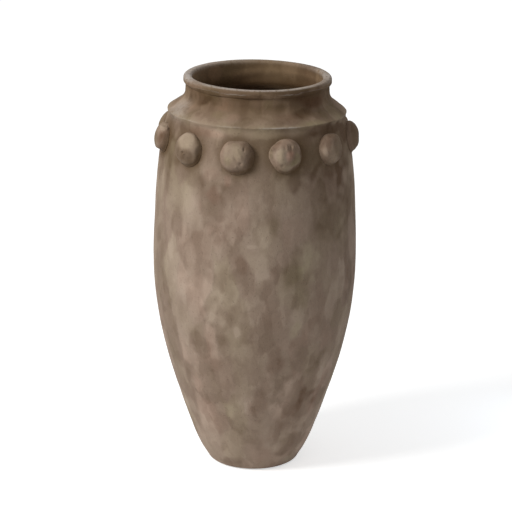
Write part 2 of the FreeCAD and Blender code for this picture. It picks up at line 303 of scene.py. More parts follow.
# Wear and painted highlights come in patches of a size and a contrast, with their shift; the same patches
# break up the painted shade under the rim. A pale band has its height, its reach, and turns with how strong
# it is: on the shoulder's edge, partly wear and partly a painted highlight; on the slope above, a painted
# highlight on the lit left; on the rim's flaps, wear on their torn edges; and on the lip's top, a painted
# highlight strongest at the front. The lip is paler further down as well, partly worn and partly a painted
# highlight at its left and right ends.
wear_and_shade_patches = (0.03, 1.6, 15.5)
edge_wear_and_highlight = (shoulder_edge_top, 0.001, [
    (-180, 0.5), (-60, 0.3), (-15, 0.3), (-6, 0.8), (27, 0.8), (33, 0.2), (90, 0.3), (180, 0.5),
])
slope_highlight = (0.463, 0.01, [(-180, 0), (-110, 0.7), (-66, 0.6), (-48, 0), (180, 0)])
flap_wear = (rim_lower_height, 0.0008, [
    (-180, 0.4), (-40, 0.2), (-32, 1), (-12, 0.7), (-4, 0.1), (14, 0.1), (22, 0.9), (36, 1), (38, 0.2),
    (180, 0.4),
])
lip_highlight_line = (jar_height, 0.0011, [(-180, 0.2), (-60, 0.4), (-40, 0.85), (40, 0.85), (60, 0.5), (180, 0.2)])
lip_wear_and_highlight_drop = 0.0065
lip_wear_and_highlight_by_turn = [
    (-180, 0.2), (-150, 0.55), (-75, 1.2), (-58, 0.4), (-35, 0.05), (50, 0), (90, 1), (130, 0.2),
    (180, 0.2),
]

# A paler band along the shoulder's edge, partly the clay's own colour and partly a painted highlight
edge_band_reach = 0.004
edge_band_tone = 0.5
edge_band_blush = -0.35

# Painted shade lies on the neck under the rim, on each knob's foot and on the wall round it. A share of the
# last is there on every side, and the rest, a painted shadow, towards the knob's dark side (right, up, out).
neck_shade_reach = 0.004
knob_flank_shade_reach = 0.0055
knob_halo_shade_reach = 0.0078
knob_shade_all_round_share = 0.5
knob_dark_side = (0.75, -0.66, 0)
knob_brown = 0.3

# Colours, as linear red, green and blue. A patch multiplies the clay's colour by its shade.
clay_mid = (0.268, 0.193, 0.142)
clay_brown = (0.167, 0.103, 0.055)
# The next colour is for wear and painted highlights, the one after for painted shade deep inside, and the
# third for painted shade and for the clay's dark specks and pits
worn_and_highlight_colour = (0.498, 0.446, 0.404)
deep_shade_colour = (0.058, 0.028, 0.008)
shade_and_speck_colour = (0.1, 0.058, 0.026)
pale_shade = (1.53, 1.63, 1.71)
dark_shade = (0.44, 0.36, 0.28)
pink_shade = (1.3, 1.14, 1.16)
olive_shade = (0.9, 0.98, 0.8)

# How the clay is coloured. A grain is a patch's size and how many finer layers its noise has, a strength is
# how much it shows, a squash draws it out, and a range is where it sets in.
cloud_grain = (0.095, 2)
cloud_strength = 0.9
blotch_grain = (0.03, 3)
blotch_strength = 1
blush_grain = (0.045, 2)
blush_cloud_strength = 1.6
streak_grain = (0.008, 2)
streak_squash = 0.2
streak_strength = 0.3
dab_size = 0.025
dab_strength = 0.8
dab_blush_strength = 0.7
dab_softness = 0.34
dab_squash = 0.52
dab_edge_grain = (0.01, 3)
dab_edge_reach = 0.006
small_dab_size = 0.012
small_dab_strength = 0.45
mottle_grain = (0.0036, 3)
mottle_strength = 0.5
speck_grain = (0.0013, 2)
speck_range = (0.63, 0.7)
speck_strength = 0.14
pit_grain = (0.0022, 1)
pit_range = (0.69, 0.76)
wear_and_highlight_mottle_range = (0.2, 0.55)
painted_shade_mottle_range = (0, 0.45)
# This scales the painted tone: stains and painted light and shade alike
tone_paint_strength = 0.9
blush_strength = 0.55
pale_strength = 1
dark_strength = 0.7
brown_strength = 0.75
wear_and_highlight_strength = 0.75
painted_shade_strength = 0.9
deep_strength = 0.75
wall_clay_offset = 0
knob_clay_offset = 0.31

# How uneven the clay is, and how rough, from end to end of the mottle's range
pit_depth = 0.0003
bump_grain = (0.0011, 4)
bump_depth = 0.00022
dab_relief = 0.00025
roughness_mottle_range = (0.3, 0.7)
roughness_range = (0.74, 0.96)
clay_shine = 0.22

# Camera: a long lens, looking down on the jar's front
camera_place = (0, -2.5, 1.031)
camera_pitch = math.radians(17)
camera_yaw = math.radians(0.034)
camera_roll = math.radians(0.5316)
camera_lens_mm = 146.33
sensor_mm = 36

# Lights: turn, height, distance from the axis, width, power and colour
light_aim = (0, 0, 0.3)
lights = {
    "key_light": (-62, 2.2, 2.6, 1.2, 72.5, (0.985, 0.985, 0.97)),
    "rim_light": (128, 1.1, 2.4, 1.2, 4, (0.93, 0.97, 1)),
    "low_left_light": (-104, 0.07, 0.5, 0.12, 0.24, (0.65, 0.82, 1)),
    "low_right_light": (104, 0.07, 0.5, 0.12, 0.18, (0.65, 0.82, 1)),
}
sky_strength = 0.4

# The floor's shade and its glow to the camera, within the first radius and past the second
floor_radius = 9
floor_sides = 96
floor_shade_radii = (0.35, 1.3)
floor_shades = (0.88, 0.4)
floor_glows = (0.55, 0.85)


def unit(vector):
    return np.array(vector) / np.linalg.norm(vector)


def natural_curve(stations):
    """Dense points along the smoothest curve through the stations."""
    points = np.array(stations)
    spans = np.hypot(*np.diff(points, axis=0).T)
    slopes = np.diff(points, axis=0) / spans[:, None]
    last = len(points) - 1
    system = np.eye(last + 1)
    bends = np.zeros_like(points)
    for i in range(1, last):
        system[i, i - 1 : i + 2] = spans[i - 1], 2 * (spans[i - 1] + spans[i]), spans[i]
        bends[i] = 6 * (slopes[i] - slopes[i - 1])
    bends = np.linalg.solve(system, bends)
    dense = [points[0]]
    for i in range(last):
        for t in np.linspace(0, 1, curve_steps + 1)[1:]:
            s = 1 - t
            pull = (s**3 - s) * bends[i] + (t**3 - t) * bends[i + 1]
            dense.append(s * points[i] + t * points[i + 1] + pull * spans[i] ** 2 / 6)
    return np.array(dense)


def path_normals(path):
    """The directions out of the clay along a path that has the clay on its left."""
    along = np.gradient(path, axis=0)
    along /= np.hypot(*along.T)[:, None]
    return np.stack([along[:, 1], -along[:, 0]], axis=1)


def side_stations():
    """The (radius, height) points that the outside of the wall runs through, from the ground up."""
    foot = np.array([foot_radius, 0])
    belly = np.array([belly_radius, belly_height])
    top = np.array([wall_top_radius, wall_top_height])
    lower = [foot + (belly - foot) * (gain, rise) for rise, gain in lower_side_shares]
    upper = [belly + (top - belly) * (loss, rise) for rise, loss in upper_side_shares]
    return [foot, *lower, belly, *upper, top]


def bowl_path(side, ground, round_radius):
    """A bowl's half outline: level from the axis, round the corner and up the side."""
    side_normals = path_normals(side)
    centres = side - side_normals * round_radius
    start = np.argmax(centres[:, 1] >= ground + round_radius)
    centre = np.array([centres[start, 0], ground + round_radius])
    end_angle = math.atan2(side_normals[start, 1], side_normals[start, 0])
    angles = np.linspace(-math.pi / 2, end_angle, arc_steps)
    arc = centre + round_radius * np.stack([np.cos(angles), np.sin(angles)], axis=1)
    return np.vstack([[(0, ground)], arc, side[start + 1 :]])


def rounded_path(corners):
    """A path through (radius, height, rounding) corners, with an arc at each but the ends."""
    points = np.array(corners)[:, :2]
    rounded = [points[0]]
    for before, here, after, (*_, rounding) in zip(points, points[1:], points[2:], corners[1:]):
        back = unit(before - here)
        onward = unit(after - here)
        half_angle = math.acos(back @ onward) / 2
        room = rounding_limit_share * min(math.dist(before, here), math.dist(after, here))
        cut_back = min(rounding / math.tan(half_angle), room)
        centre = here + unit(back + onward) * cut_back / math.cos(half_angle)
        first = here + back * cut_back - centre
        last = here + onward * cut_back - centre
        for t in np.linspace(0, 1, arc_steps):
            rounded.append(centre + unit(first * (1 - t) + last * t) * cut_back * math.tan(half_angle))
    rounded.append(points[-1])
    return np.array(rounded)


def evenly_spaced(points, spacing):
    """The same path, with points a spacing apart."""
    lengths = np.concatenate([[0], np.cumsum(np.hypot(*np.diff(points, axis=0).T))])
    places = np.linspace(0, lengths[-1], int(lengths[-1] / spacing) + 1)
    return np.stack([np.interp(places, lengths, points[:, k]) for k in (0, 1)], axis=1)


def section_path():
    """The clay's half section: out from the axis under the foot, up, over the rim and down to the floor."""
    side = natural_curve(side_stations())
    side_normals = path_normals(side)
    inner_stations = []
    for station in side_stations()[:-1]:
        nearest = np.argmin(np.hypot(*(side - station).T))
        inner_stations.append(side[nearest] - side_normals[nearest] * wall_thickness)
    cavity = natural_curve(inner_stations)

    # The shoulder's underside runs beside its slope, from the throat out to where the cavity's side meets it.
    down_slope = unit([shoulder_edge_radius - neck_radius, shoulder_edge_top - neck_foot_height])
    slope_normal = np.array([-down_slope[1], down_slope[0]])
    beneath = np.array([neck_radius, neck_foot_height]) - slope_normal * neck_thickness
    throat = beneath + down_slope * (mouth_radius - beneath[0]) / down_slope[0]
    upward = unit(cavity[-1] - cavity[-2])
    climb = np.linalg.solve(np.stack([upward, -down_slope], axis=1), beneath - cavity[-1])[0]
    armpit = cavity[-1] + upward * climb

    wall = side[side[:, 1] < wall_top_height - shoulder_hollow_depth]
    over = rounded_path([
        (*wall[-1], 0),
        (wall_top_radius, wall_top_height, shoulder_hollow_radius),
        (shoulder_edge_radius, shoulder_edge_top, shoulder_edge_round_radius),
        (neck_radius, neck_foot_height, neck_fillet_radius),
        (neck_radius, rim_foot_height, rim_under_round_radius),
        (rim_radius, rim_lower_height, rim_lower_round_radius),
        (rim_radius, jar_height, rim_outer_round_radius),
        (mouth_radius, jar_height, rim_inner_round_radius),
        (*throat, throat_round_radius),
        (*armpit, shoulder_inner_round_radius),
        (*cavity[-1], 0),
    ])
    inside = bowl_path(cavity, floor_thickness, floor_fillet_radius)[::-1]
    whole = np.vstack([bowl_path(wall, 0, foot_round_radius), over[1:], inside[1:]])
    return evenly_spaced(whole, path_spacing)


path = section_path()
normals = path_normals(path)
top_index = int(np.argmax(path[:, 1]))
is_inside = (np.arange(len(path)) > top_index).astype(float)


def row_counts():
    """How many mesh rows the path takes up to each point: more where it bends, and where it is seen."""
    steps = np.diff(path, axis=0)
    hidden = (is_inside[1:] > 0) & (path[1:, 1] < hidden_below_height)
    spacing = np.where(hidden, hidden_row_spacing, seen_row_spacing)
    facing = np.unwrap(np.arctan2(normals[:, 1], normals[:, 0]))
    rows = np.hypot(*steps.T) / spacing + np.abs(np.diff(facing)) / most_turn_in_row
    return np.concatenate([[0], np.cumsum(rows)])


rows_so_far = row_counts()


def outer_index(height):
    """The first point of the path that is as high as this."""
    return int(np.argmax(path[:, 1] >= height))


def inner_index(height):
    """The last point of the path that is as high as this."""
    return int(np.nonzero(path[:, 1] >= height)[0][-1])


def nearest_index(place, first, last):
    """The point of a stretch of the path that is nearest to a place."""
    return first + int(np.argmin(np.hypot(*(path[first:last] - place).T)))


def seam_ends():
    """Where each seam meets the outside and the inside of the wall, from the floor up."""
    ends = [(outer_index(height), inner_index(height)) for height in level_seam_heights]
    edge = np.array([shoulder_edge_radius, shoulder_edge_top])
    neck_foot = np.array([neck_radius, neck_foot_height])
    on_slope = nearest_index(neck_foot + neck_seam_share * (edge - neck_foot), 0, top_index)
    under_slope = path[on_slope] - normals[on_slope] * neck_thickness
    ends.append((on_slope, nearest_index(under_slope, top_index, len(path))))
    ends.append((outer_index(rim_foot_height), inner_index(rim_foot_height)))
    return ends


seams = seam_ends()


def surface_rows(start, end):
    """Mesh rows along a stretch of the path: radius, height, direction out of the clay, and if inside."""
    count = math.ceil(rows_so_far[end] - rows_so_far[start]) + 2
    places = np.linspace(rows_so_far[start], rows_so_far[end], count)
    columns = [path[:, 0], path[:, 1], normals[:, 0], normals[:, 1], is_inside]
    return np.stack([np.interp(places, rows_so_far, column) for column in columns], axis=1)


def tongue_rows(seam):
    """Mesh rows along a seam's tongue, from the outside of the wall to the inside. They face no way out."""
    outer, inner = path[seam[0]], path[seam[1]]
    across = unit(outer - inner)
    onward = np.array([-across[1], across[0]])
    centre = (outer + inner) / 2
    corners = [
        centre + across * tongue_half_width,
        centre + onward * tongue_height,
        centre - across * tongue_half_width,
    ]
    return np.array([(*corner, 0, 0, 1) for corner in corners])


def ring_rows(number):
    """Mesh rows round the section of one ring, counted from the floor up."""
    start, end = seams[number - 1] if number > 0 else (0, len(path) - 1)
    if number < len(seams):
        high = seams[number]
        parts = [surface_rows(start, high[0]), tongue_rows(high), surface_rows(high[1], end)]
    else:
        parts = [surface_rows(start, end)]
    if number > 0:
        parts.append(tongue_rows(seams[number - 1])[::-1])
    return np.vstack(parts)


def noise_at(places, size, shift):
    """Smooth noise from -1 to 1 at each place, with features of a size in metres."""
    flat = (places / size + shift).reshape(-1, 3).tolist()
    return np.array([noise.noise(place) for place in flat]).reshape(places.shape[:-1])


def sunk(marks, places):
    """How far a kind of mark sinks the surface at each place, from 0 to its depth."""
    size, depth, shift = marks
    return depth * (0.5 - 0.5 * noise_at(places, size, shift))


def turning_marks(marks, places):
    """Shallow rings left by fingers as the clay turned, not quite level or even."""
    pitch, depth, shift = marks
    wander = noise_at(places, turning_wander_pitches * pitch, shift)
    rings = np.sin((places[..., 2] / pitch + wander) * 2 * math.pi)
    fading = turning_fade_share * (1 - noise_at(places, turning_fade_pitches * pitch, shift + 1))
    return depth * (0.5 + 0.5 * rings) * (1 - fading)


def falloff(distance, reach):
    """1 at no distance, falling smoothly to nothing past the reach."""
    return np.exp(-((distance / reach) ** 2))


def soft_step(past_edge, softness):
    """1 well inside an edge and 0 well past it."""
    return 0.5 - 0.5 * np.tanh(past_edge / softness / 2)


def off_axis(places):
    """How far each place is from the axis."""
    return np.hypot(places[..., 0], places[..., 1])


def turn_after(places, turn):
    """How far round each place is from a turn, in degrees from 0 to 360."""
    return (np.degrees(np.arctan2(places[..., 0], -places[..., 1])) - turn) % 360


def by_turn(places, table):
    """What a table of (turn, value) gives at each place, all round."""
    turns, values = np.array(table).T
    return np.interp(turn_after(places, -180) - 180, turns, values)


def by_level(levels, table):
    """What each column of a table of (level, values) gives at these levels."""
    known, *columns = np.array(table).T
    return [np.interp(levels, known, column) for column in columns]


def rim_edge_drop(places):
    """How far the rim's lower edge hangs down at each place's turn."""
    size, raggedness, shift = flap_raggedness
    ragged = 1 + raggedness * noise_at(places, size, shift)
    drop = np.zeros(places.shape[:-1])
    for start, end, depth in rim_flaps:
        begun = turn_after(places, start)
        left = (end - start) - begun
        share = np.clip(begun / flap_start_width, 0, 1) * np.clip(left / flap_end_width, 0, 1)
        drop = np.maximum(drop, depth * share * ragged)
    return drop - by_turn(places, rim_edge_lifts)


def on_rim_edge(places):
    """How much each place belongs to the lower edge of the rolled rim."""
    on_roll = np.clip((off_axis(places) - neck_radius) / (rim_radius - neck_radius), 0, 1)
    return on_roll * falloff(places[..., 2] - rim_lower_height, flap_reach)


def handmade(places):
    """Moves places as the potter's hands did: flaps on the rim, out of round, out of level, off centre."""
    moved = places.copy()
    radius = off_axis(places)
    height = places[..., 2]
    above_edge = height - shoulder_edge_top
    moved[..., 2] -= rim_edge_drop(places) * on_rim_edge(places)
    moved[..., 2] -= sunk(edge_waver, places) * falloff(above_edge, edge_waver_reach)
    share_in = sunk(out_of_round, places) / belly_radius - by_level(height, height_girth_shares)[0]
    share_in -= falloff(above_edge, shoulder_girth_reach) * by_turn(places, shoulder_girth_shares)
    roll = np.maximum(radius - neck_radius, 0) * (height > rim_foot_height)
    share_in += roll * (1 - by_turn(places, rim_stand_shares)) / np.maximum(radius, neck_radius)
    right_tilt, front_tilt, shift, drop = by_level(height, lean_by_height)
    moved[..., :2] *= (1 - share_in)[..., None]
    moved[..., 0] += shift
    moved[..., 2] -= drop + places[..., 0] * np.radians(right_tilt) - places[..., 1] * np.radians(front_tilt)
    return moved


def surface_marks(places, inside):
    """How far hands and tools sank the clay's surface at each place."""
    marks = sunk(hand_marks, places) + sunk(palm_marks, places) + sunk(tool_marks, places)
    height = places[..., 2]
    below_lip = np.clip((jar_height - height) / inner_marks_below_lip, 0, 1)
    marks += inside * below_lip * turning_marks(inner_turning_marks, places)
    marks += (1 - inside) * turning_marks(outer_turning_marks, places)
    on_neck = np.clip((height - neck_foot_height) / neck_dents[0], 0, 1) * (height < rim_foot_height)
    stretched = places / np.array([1, 1, neck_dent_stretch])
    return marks + (1 - inside) * on_neck * sunk(neck_dents, stretched)


def wall_stain_and_light_paint(places):
    """The tone and blush of the wall's stains and of its painted light and shade at each place."""
    size, amount, shift = wall_patch_edges
    uneven_edge = amount * noise_at(places, size, shift)
    radius = off_axis(places)
    tone = np.zeros(radius.shape)
    blush = np.zeros(radius.shape)
    for turn, *lengths, tone_there, blush_there in wall_stains_and_shading:
        height, half_width, half_height = np.array(lengths) / mm_per_metre
        gap = turn_after(places, turn - 180) - 180
        across = np.radians(gap) * radius / half_width
        reach = np.hypot(across, (places[..., 2] - height) / half_height) + uneven_edge
        share = soft_step(reach - 1, wall_patch_softness_share)
        tone += share * tone_there
        blush += share * blush_there
    return tone / paint_tenths, blush / paint_tenths


def pale_band(places, level, reach, strengths):
    """How pale the clay is in a band round the jar."""
    return falloff(places[..., 2] - level, reach) * by_turn(places, strengths)


def wear_and_highlight_at(places, patches):
    """How worn the clay is at each place of a ring, with its painted highlights."""
    lip_paleness = np.clip(1 - (jar_height - places[..., 2]) / lip_wear_and_highlight_drop, 0, 1)
    lip_paleness *= by_turn(places, lip_wear_and_highlight_by_turn)
    bands = (edge_wear_and_highlight, slope_highlight, flap_wear, lip_highlight_line)
    edge, slope, flaps, line = (pale_band(places, *band) for band in bands)
    in_patches = np.maximum.reduce([edge, slope, flaps * on_rim_edge(places)])
    return np.maximum.reduce([lip_paleness, line, patches * in_patches])


def painted_shade_at(places, patches):
    """How much painted shade the outside has at each place of a ring."""
    height = places[..., 2]
    # Painted shade on the neck under the rim, broken into patches
    painted_shade = patches * falloff(np.maximum(rim_foot_height - height, 0), neck_shade_reach)
    painted_shade *= height < rim_lower_height
    to_right, up, _ = unit(knob_dark_side)
    for number in knob_numbers:
        centre, right, _, size = knob_place(number)
        offset = places - np.array(centre)
        distance = np.linalg.norm(offset, axis=-1)
        # Painted shade round each knob, and a painted shadow towards its dark side
        around = falloff(np.maximum(distance - knob_radius * size, 0), knob_halo_shade_reach)
        toward = (offset @ np.array(right) * to_right + offset[..., 2] * up) / distance
        around *= knob_shade_all_round_share + (1 - knob_shade_all_round_share) * np.clip(toward, 0, 1)
        painted_shade = np.maximum(painted_shade, around)
    return painted_shade


def wall_paint(places, inside):
    """What the clay's material reads at each place of a ring, as numbers by name."""
    height = places[..., 2]
    outside = 1 - inside
    size, contrast, shift = wear_and_shade_patches
    patches = outside * np.clip(0.5 + contrast * noise_at(places, size, shift), 0, 1)
    edge_band = falloff(height - shoulder_edge_top, edge_band_reach)
    stain_and_light_tone, stain_blush = wall_stain_and_light_paint(places)
    tone, blush, brown = by_level(height, clay_and_shading_by_height)
    tone += stain_and_light_tone + edge_band_tone * edge_band
    blush += stain_blush + edge_band_blush * edge_band
    # Inside, painted shade grows with depth, and the tone by turn is painted light and shade
    tone_inside, brown_inside, deep = by_level(jar_height - height, inside_clay_and_shade)
    tone_inside += by_turn(places, inside_painted_light_by_turn)
    return {
        "tone": np.where(inside > 0, tone_inside, tone),
        "blush": outside * blush,
        "wear_and_highlight": wear_and_highlight_at(places, patches),
        "painted_shade": outside * painted_shade_at(places, patches),
        "brown": np.where(inside > 0, brown_inside, brown),
        "deep": inside * deep,
    }


def placed(name, data):
    """A new object in the scene."""
    thing = bpy.data.objects.new(name, data)
    bpy.context.scene.collection.objects.link(thing)
    return thing


def add_mesh(name, places, faces, paint):
    """A smooth-shaded piece with its painted numbers, one per vertex."""
    mesh = bpy.data.meshes.new(name)
    mesh.from_pydata(places.tolist(), [], faces.tolist())
    mesh.polygons.foreach_set("use_smooth", [True] * len(mesh.polygons))
    for layer, values in paint.items():
        attribute = mesh.attributes.new(layer, "FLOAT", "POINT")
        attribute.data.foreach_set("value", np.ascontiguousarray(values, dtype=np.float32).ravel())
    return placed(name, mesh)


def ring_faces(row_count, closed):
    """The four-cornered faces between neighbouring rows and columns of a spun outline."""
    rows = np.arange(row_count if closed else row_count - 1)
    here, column = np.meshgrid(rows, np.arange(segments), indexing="ij")
    above = (here + 1) % row_count
    beside = (column + 1) % segments
    corners = [(here, column), (here, beside), (above, beside), (above, column)]
    return np.stack([(row * segments + place).ravel() for row, place in corners], axis=1)


def all_round(count):
    """Directions from the axis, evenly all round it."""
    angles = np.linspace(0, 2 * math.pi, count, endpoint=False)
    return np.stack([np.cos(angles), np.sin(angles), np.zeros(count)], axis=1)


def spun(rows):
    """Places and outward directions of an outline's rows, carried all round the axis."""
    around = all_round(segments)
    upward = np.array([0, 0, 1])
    places = rows[:, None, 0:1] * around + rows[:, None, 1:2] * upward
    outward = rows[:, None, 2:3] * around + rows[:, None, 3:4] * upward
    return places, outward


def sharpen_seams(mesh, rows):
    """Keeps the shading of the surface apart from that of the seams."""
    is_seam = (rows[:, 2:4] == 0).all(axis=1)
    borders = ~is_seam & (np.roll(is_seam, 1) | np.roll(is_seam, -1))
    ends = np.empty(2 * len(mesh.edges), dtype=np.int32)
    mesh.edges.foreach_get("vertices", ends)
    edge_rows = ends.reshape(-1, 2) // segments
    sharp = (edge_rows[:, 0] == edge_rows[:, 1]) & borders[edge_rows[:, 0]]
    mesh.attributes.new("sharp_edge", "BOOLEAN", "EDGE").data.foreach_set("value", sharp)


def weld(mesh):
    """Joins the points that lie on the axis into one."""
    work = bmesh.new()
    work.from_mesh(mesh)
    bmesh.ops.remove_doubles(work, verts=work.verts, dist=weld_distance)
    work.to_mesh(mesh)
    work.free()


def thrown_ring(name, number):
    """One ring or dish of clay, spun from its part of the section, marked by hand and painted."""
    rows = ring_rows(number)
    closed = number > 0
    places, outward = spun(rows)
    inside = np.repeat(rows[:, 4:5], segments, axis=1)
    marked = places - outward * surface_marks(places, inside)[..., None]
    worked = handmade(marked).reshape(-1, 3)
    ring = add_mesh(name, worked, ring_faces(len(rows), closed), wall_paint(places, inside))
    sharpen_seams(ring.data, rows)
    if not closed:
        weld(ring.data)
    return ring


def knob_place(number):
    """A knob's centre, the directions to its right and out of the wall, and its size as a share."""
    place = number - 1
    turn = math.radians(first_knob_turn + (place + knob_turn_shares[place]) * 360 / knob_count)
    index = outer_index(wall_top_height - knob_drop + knob_rise_shares[place] * knob_radius)
    size = 1 + knob_size_shares[place]
    radius, height = path[index] + normals[index] * (knob_stand - knob_half_depth) * size
    front = Vector((math.sin(turn), -math.cos(turn), 0))
    right = Vector((math.cos(turn), math.sin(turn), 0))
    out = front * normals[index, 0] + Vector((0, 0, normals[index, 1]))
    return front * radius + Vector((0, 0, height)), right, out, size


def wall_gap(places):
    """How far each place stands out of the wall."""
    wall_radii = np.interp(places[:, 2], path[:top_index, 1], path[:top_index, 0])
    return off_axis(places) - wall_radii


def drawn_marks(random, count, ranges):
    """Marks on a knob, each with its numbers drawn from the ranges."""
    return [[random.uniform(*limits) for limits in ranges] for _ in range(count)]


def flattened(shape, reach, flats):
    """A knob's shape with its flats pressed in."""
    softness = flat_softness_share * knob_radius
    for *direction, share in flats:
        flat = unit(direction)
        limit = np.linalg.norm(flat * reach) * (1 - share)
        height = shape @ flat
        pressed = -softness * np.logaddexp(-height / softness, -limit / softness)
        shape = shape + flat * (pressed - height)[:, None]
    return shape


def dented(shape, facing, dents):
    """A knob's shape with its dents."""
    for to_right, up, half_width, half_height, slant, depth in dents:
        lean = math.radians(slant)
        across = facing[:, 0] - to_right
        along = facing[:, 1] - up
        sideways = (across * math.cos(lean) - along * math.sin(lean)) / half_width
        lengthways = (across * math.sin(lean) + along * math.cos(lean)) / half_height
        dip = depth * np.exp(-(sideways**2) - lengthways**2) * (facing[:, 2] > 0)
        shape = shape - facing * dip[:, None]
    return shape


def pressed_on(shape, facing, axes, centre):
    """A knob's shape carried to the wall, with its foot spread and nothing buried too deep."""
    gap = wall_gap(shape @ axes + centre)
    sag = knob_spread * (0.5 - 0.5 * facing[:, 1])
    spread = sag * np.exp(-np.maximum(gap, 0) / knob_spread_height)
    shape[:, :2] *= (1 + spread / np.maximum(off_axis(shape), knob_spread))[:, None]
    places = shape @ axes + centre
    too_deep = np.maximum(-knob_bury - wall_gap(places), 0)
    places[:, :2] *= (1 + too_deep / off_axis(places))[:, None]
    return places


def knob_paint(number, facing, gap):
    """What the clay's material reads at each place of a knob, as numbers by name."""
    paint = {name: np.zeros(len(facing)) for name in ("tone", "blush", "wear_and_highlight", "deep")}
    for *direction, width, tone, blush in knob_stains_and_shading.get(number, []):
        away = np.linalg.norm(facing - unit(direction), axis=1)
        share = soft_step(away - width, knob_paint_softness)
        paint["tone"] += share * tone / paint_tenths
        paint["blush"] += share * blush / paint_tenths
    # Painted shade on the knob's foot, most on the side away from the light
    shade = 0.5 + 0.5 * facing @ unit(knob_dark_side)
    paint["painted_shade"] = shade * falloff(np.maximum(gap, 0), knob_flank_shade_reach)
    paint["brown"] = np.full(len(facing), knob_brown)
    return paint


def pressed_knob(number):
    """One hand-rolled knob: a flattened ball with flats and dents, pressed onto the wall."""
    random = np.random.default_rng(number)
    flats = knob_flats.get(number, drawn_marks(random, *drawn_flats))
    dents = knob_dents.get(number, drawn_marks(random, *drawn_dents))
    ball = bmesh.new()
    bmesh.ops.create_icosphere(ball, subdivisions=knob_fineness, radius=1)
    facing = np.array([vertex.co for vertex in ball.verts])
    faces = np.array([[vertex.index for vertex in face.verts] for face in ball.faces])
    ball.free()

    centre, right, out, size = knob_place(number)
    reach = np.array([knob_radius, knob_radius, knob_half_depth]) * size
    shape = dented(flattened(facing * reach, reach, flats), facing, dents)
    shift = knob_noise_shift * number
    sinking = sunk((*knob_unevenness, shift), shape) + sunk((*knob_grain, shift), shape)
    shape -= facing * sinking[:, None]
    axes = np.array([right, out.cross(right), out])
    places = pressed_on(shape, facing, axes, np.array(centre))
    paint = knob_paint(number, facing, wall_gap(places))
    return add_mesh(f"knob_{number:02d}_visual", handmade(places), faces, paint)


class Recipe:
    """The nodes of a material or a sky, added one by one."""

    def __init__(self, owner, shader):
        owner.use_nodes = True
        self.tree = owner.node_tree
        self.shader = self.tree.nodes[shader]

    def fill(self, node, inputs):
        """Sets a node's inputs, or links them where the value comes from another node."""
        for place, value in inputs.items():
            if isinstance(value, bpy.types.NodeSocket):
                self.tree.links.new(value, node.inputs[place])
            else:
                node.inputs[place].default_value = value

    def add(self, kind, inputs, output=0, **settings):
        """A node with its settings and inputs; gives one of its outputs."""
        node = self.tree.nodes.new(kind)
        for name, value in settings.items():
            setattr(node, name, value)
        self.fill(node, inputs)
        return node.outputs[output]

    def number(self, name):
        """The number painted on the mesh under this name."""
        return self.add("ShaderNodeAttribute", {}, "Fac", attribute_name=name)

    def calculate(self, operation, *values, clamp=False):
        return self.add("ShaderNodeMath", dict(enumerate(values)), operation=operation, use_clamp=clamp)

    def times(self, value, strength, clamp=False):
        return self.calculate("MULTIPLY", value, strength, clamp=clamp)

    def swing(self, value, strength):
        """Turns a number about one half into one about nought, of this strength."""
        return self.calculate("MULTIPLY_ADD", value, strength, -strength / 2)

    def total(self, values):
        result = values[0]
        for value in values[1:]:
            result = self.calculate("ADD", result, value)
        return result

    def ramp(self, value, low, high):
        """0 below the low end and 1 above the high end, smooth between."""
        inputs = {"Value": value, "From Min": low, "From Max": high}
        return self.add("ShaderNodeMapRange", inputs, interpolation_type="SMOOTHSTEP")

    def carried(self, value, *ends):
        """A number carried from one range to another: the ends of the first, then of the second."""
        inputs = dict(zip(("From Min", "From Max", "To Min", "To Max"), ends))
        return self.add("ShaderNodeMapRange", {"Value": value, **inputs})

    def noise(self, place, grain, output=0):
        size, detail = grain
        inputs = {"Vector": place, "Scale": 1 / size, "Detail": detail}
        return self.add("ShaderNodeTexNoise", inputs, output)

    def mix(self, share, first, second, blend="MIX"):
        """A colour between two, or the first blended with the second."""
        first, second = (colour if isinstance(colour, bpy.types.NodeSocket) else (*colour, 1)
                         for colour in (first, second))
        return self.add("ShaderNodeMix", {0: share, 6: first, 7: second}, 2, data_type="RGBA",
                        blend_type=blend)

    def pushed(self, place, grain, reach):
        """The place, pushed about by noise as far as a reach."""
        push = self.noise(place, grain, "Color")
        push = self.add("ShaderNodeVectorMath", {0: push, 1: (0.5, 0.5, 0.5)}, operation="SUBTRACT")
        push = self.add("ShaderNodeVectorMath", {0: push, "Scale": reach * 2}, operation="SCALE")
        return self.add("ShaderNodeVectorMath", {0: place, 1: push}, operation="ADD")

    def dabs(self, place, size, softness):
        """Soft-edged dabs: the red and the green of a colour of their own for each."""
        inputs = {"Vector": place, "Scale": 1 / size, "Smoothness": softness}
        cells = self.add("ShaderNodeTexVoronoi", inputs, "Color", feature="SMOOTH_F1")
        channels = self.add("ShaderNodeSeparateColor", {0: cells})
        return channels, channels.node.outputs[1]


